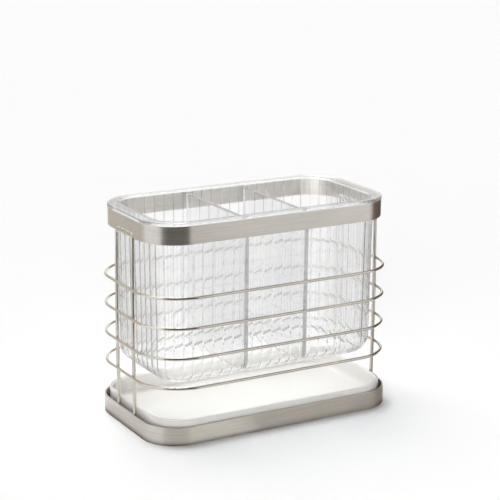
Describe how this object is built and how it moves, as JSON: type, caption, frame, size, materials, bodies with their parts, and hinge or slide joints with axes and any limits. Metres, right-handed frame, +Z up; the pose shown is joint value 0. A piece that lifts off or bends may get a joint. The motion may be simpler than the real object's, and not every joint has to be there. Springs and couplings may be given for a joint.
{
  "type": "cutlery holder",
  "caption": "Free-standing cutlery holder: a clear fluted insert with compartments hangs in a steel wire frame above a lift-out drip tray.",
  "frame": {"origin": "on the surface that the holder stands on, under the middle of its frame", "axes": "+X along the long side, +Y across it to the back, +Z up"},
  "size_m": [0.1824, 0.101, 0.1436],
  "materials": {
    "band_steel": "brushed along the strip",
    "wire_steel": "satin",
    "white_plastic": "gloss",
    "clear_plastic": "clear, polished"
  },
  "bodies": {
    "frame": {"top_band": "band_steel", "bottom_band": "band_steel", "left_end_wire": "wire_steel", "right_end_wire": "wire_steel", "ring_wire_1": "wire_steel", "ring_wire_2": "wire_steel", "ring_wire_3": "wire_steel", "ring_wire_4": "wire_steel", "tray_wire_1": "wire_steel", "tray_wire_2": "wire_steel"},
    "tray": {"drip_tray": "white_plastic"},
    "insert": {"insert": "clear_plastic"}
  },
  "joints": [
    {"name": "insert_lift", "type": "slide", "parent": "frame", "child": "insert", "axis": [0, 0, 1], "range_m": [0, 0.112]},
    {"name": "tray_lift", "type": "slide", "parent": "frame", "child": "tray", "axis": [0, 0, 1], "range_m": [0, 0.018]}
  ]
}
